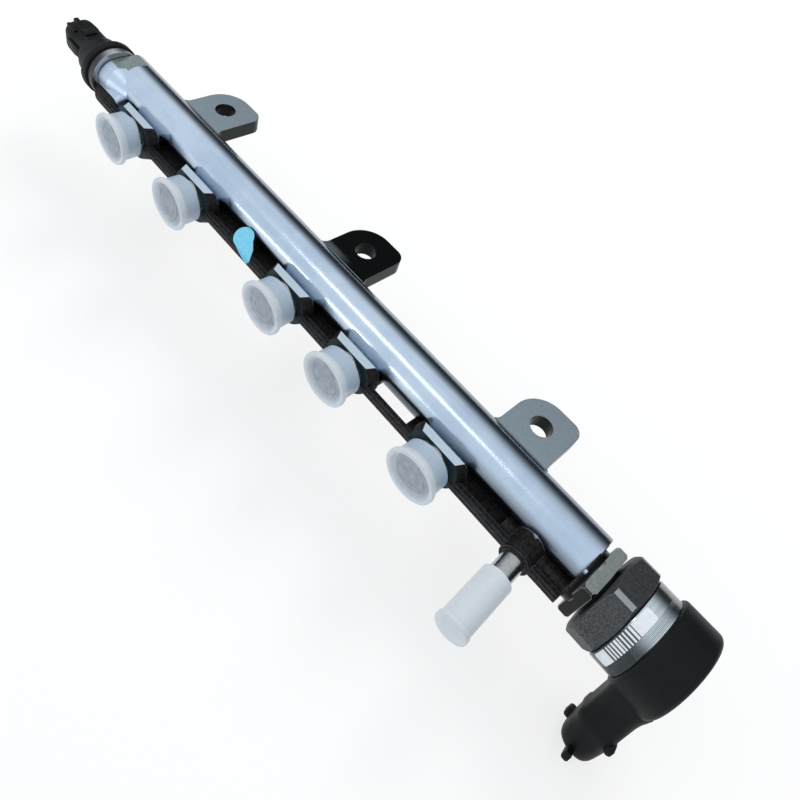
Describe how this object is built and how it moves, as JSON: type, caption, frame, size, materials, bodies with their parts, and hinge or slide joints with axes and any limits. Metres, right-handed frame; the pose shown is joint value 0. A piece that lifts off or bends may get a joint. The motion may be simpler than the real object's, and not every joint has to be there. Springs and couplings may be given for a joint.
{
  "type": "common rail fuel accumulator",
  "caption": "Forged high-pressure fuel rail with fixing lugs, capped injector ports, a return outlet, a pressure sensor and a solenoid pressure control valve.",
  "frame": {"origin": "on the axis of the middle bolt hole, in the plane in which the three lugs sit on the engine; the outer two bolt holes lie 100 mm to each side", "axes": "+X along the rail towards the pressure control valve, +Y from the rail towards its bolt holes, +Z away from the engine"},
  "size_m": [0.3743, 0.0851, 0.0607],
  "materials": {
    "forged_rail": "bright turned tube and flats, dark forged skin between them",
    "milky_cap": "translucent soft polythene",
    "hardened_steel": "ground",
    "pipe_steel": "drawn",
    "blue_label": "satin film",
    "sensor_steel": "turned",
    "circuit_board": "solder mask",
    "black_plastic": "fine moulded grain",
    "terminal_brass": "plated",
    "nut_steel": "dark grained phosphate",
    "valve_steel": "turned",
    "black_rubber": "moulded",
    "white_ptfe": "plain",
    "soft_iron": "turned",
    "spring_steel": "drawn wire",
    "white_nylon": "moulded",
    "copper_wire": "enamelled",
    "pot_steel": "fine turned",
    "white_label": "printed film"
  },
  "bodies": {
    "rail": {"rail_body": "forged_rail", "port_cap_1": "milky_cap", "port_cap_2": "milky_cap", "port_cap_3": "milky_cap", "port_cap_4": "milky_cap", "port_cap_5": "milky_cap", "throttle_1": "hardened_steel", "throttle_2": "hardened_steel", "throttle_3": "hardened_steel", "throttle_4": "hardened_steel", "throttle_5": "hardened_steel", "return_pipe": "pipe_steel", "return_cap": "milky_cap", "blue_tag": "blue_label", "sensor_body": "sensor_steel", "sensor_cell": "hardened_steel", "sensor_board": "circuit_board", "sensor_connector": "black_plastic", "sensor_terminal_1": "terminal_brass", "sensor_terminal_2": "terminal_brass", "sensor_terminal_3": "terminal_brass", "union_nut": "nut_steel", "valve_seat": "hardened_steel", "valve_body": "valve_steel", "nose_seal_ring": "black_rubber", "backup_ring": "white_ptfe", "armature_spring": "spring_steel", "magnet_core": "soft_iron", "flux_washer": "soft_iron", "coil_bobbin": "white_nylon", "coil_winding": "copper_wire", "solenoid_pot": "pot_steel", "pot_label": "white_label", "solenoid_cap": "black_plastic", "valve_terminal_1": "terminal_brass", "valve_terminal_2": "terminal_brass"},
    "armature": {"valve_ball": "hardened_steel", "valve_pin": "hardened_steel", "armature": "soft_iron"}
  },
  "joints": [
    {"name": "armature_slide", "type": "slide", "parent": "rail", "child": "armature", "axis": [1, 0, 0], "range_m": [0, 0.0004], "stiffness_N_per_m": 4000, "springref_m": -0.002, "deforming": ["armature_spring"]}
  ]
}
